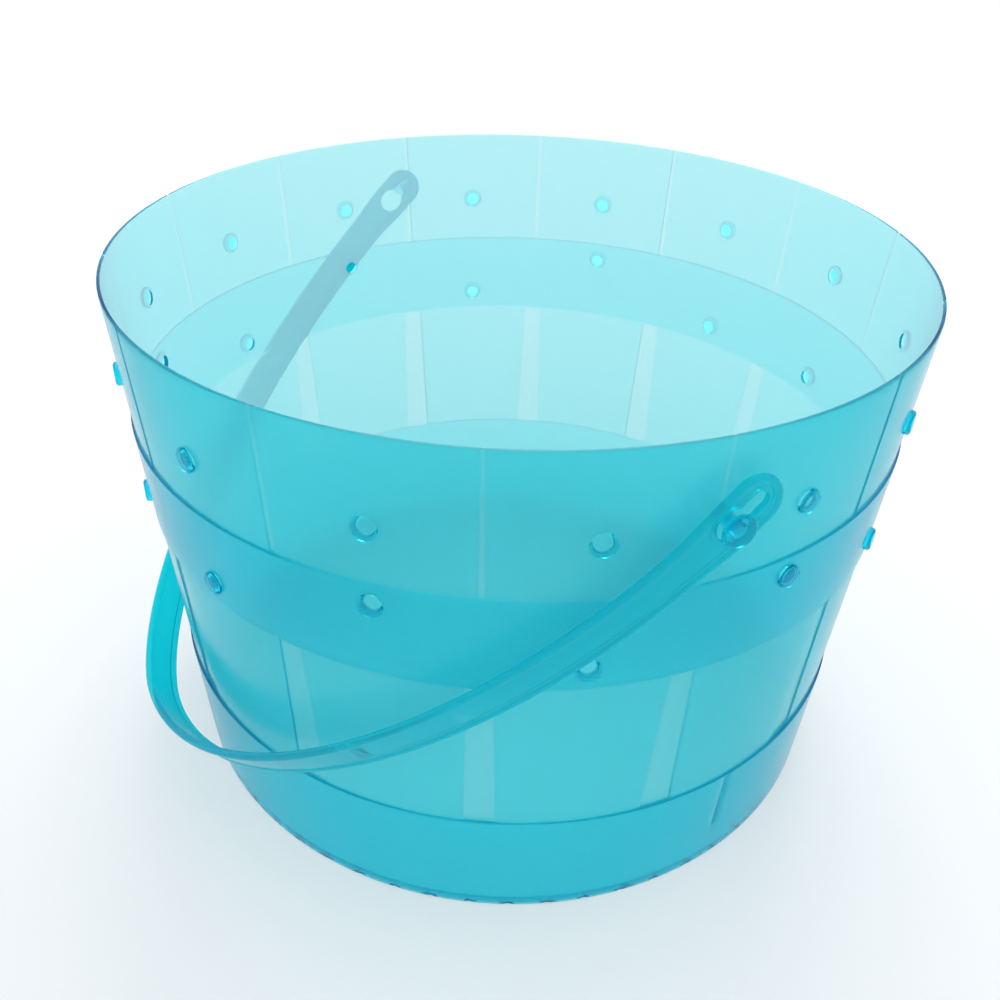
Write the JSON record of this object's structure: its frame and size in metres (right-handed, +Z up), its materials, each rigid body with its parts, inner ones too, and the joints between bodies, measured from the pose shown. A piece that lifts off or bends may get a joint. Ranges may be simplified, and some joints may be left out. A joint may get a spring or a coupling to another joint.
{
  "type": "small plastic pail with a swinging handle",
  "caption": "Small translucent plastic pail with basket-style staves, two hoops, round nail heads and a swinging strap handle.",
  "frame": {"origin": "centre of the pail's underside", "axes": "+Z up along the pail's axis; X runs through the two handle studs; the handle hangs against the -Y side at rest"},
  "size_m": [0.2298, 0.2246, 0.148],
  "materials": {
    "bucket_body": "translucent turquoise, smooth with a faint moulded texture",
    "bail_handle": "translucent turquoise, smooth"
  },
  "bodies": {
    "bucket": {"bucket_body": "bucket_body"},
    "bail": {"bail_handle": "bail_handle"}
  },
  "joints": [
    {"name": "bail_swing", "type": "hinge", "parent": "bucket", "child": "bail", "pos_m": [0, 0, 0.13], "axis": [-1, 0, 0], "range_deg": [0, 266]}
  ]
}
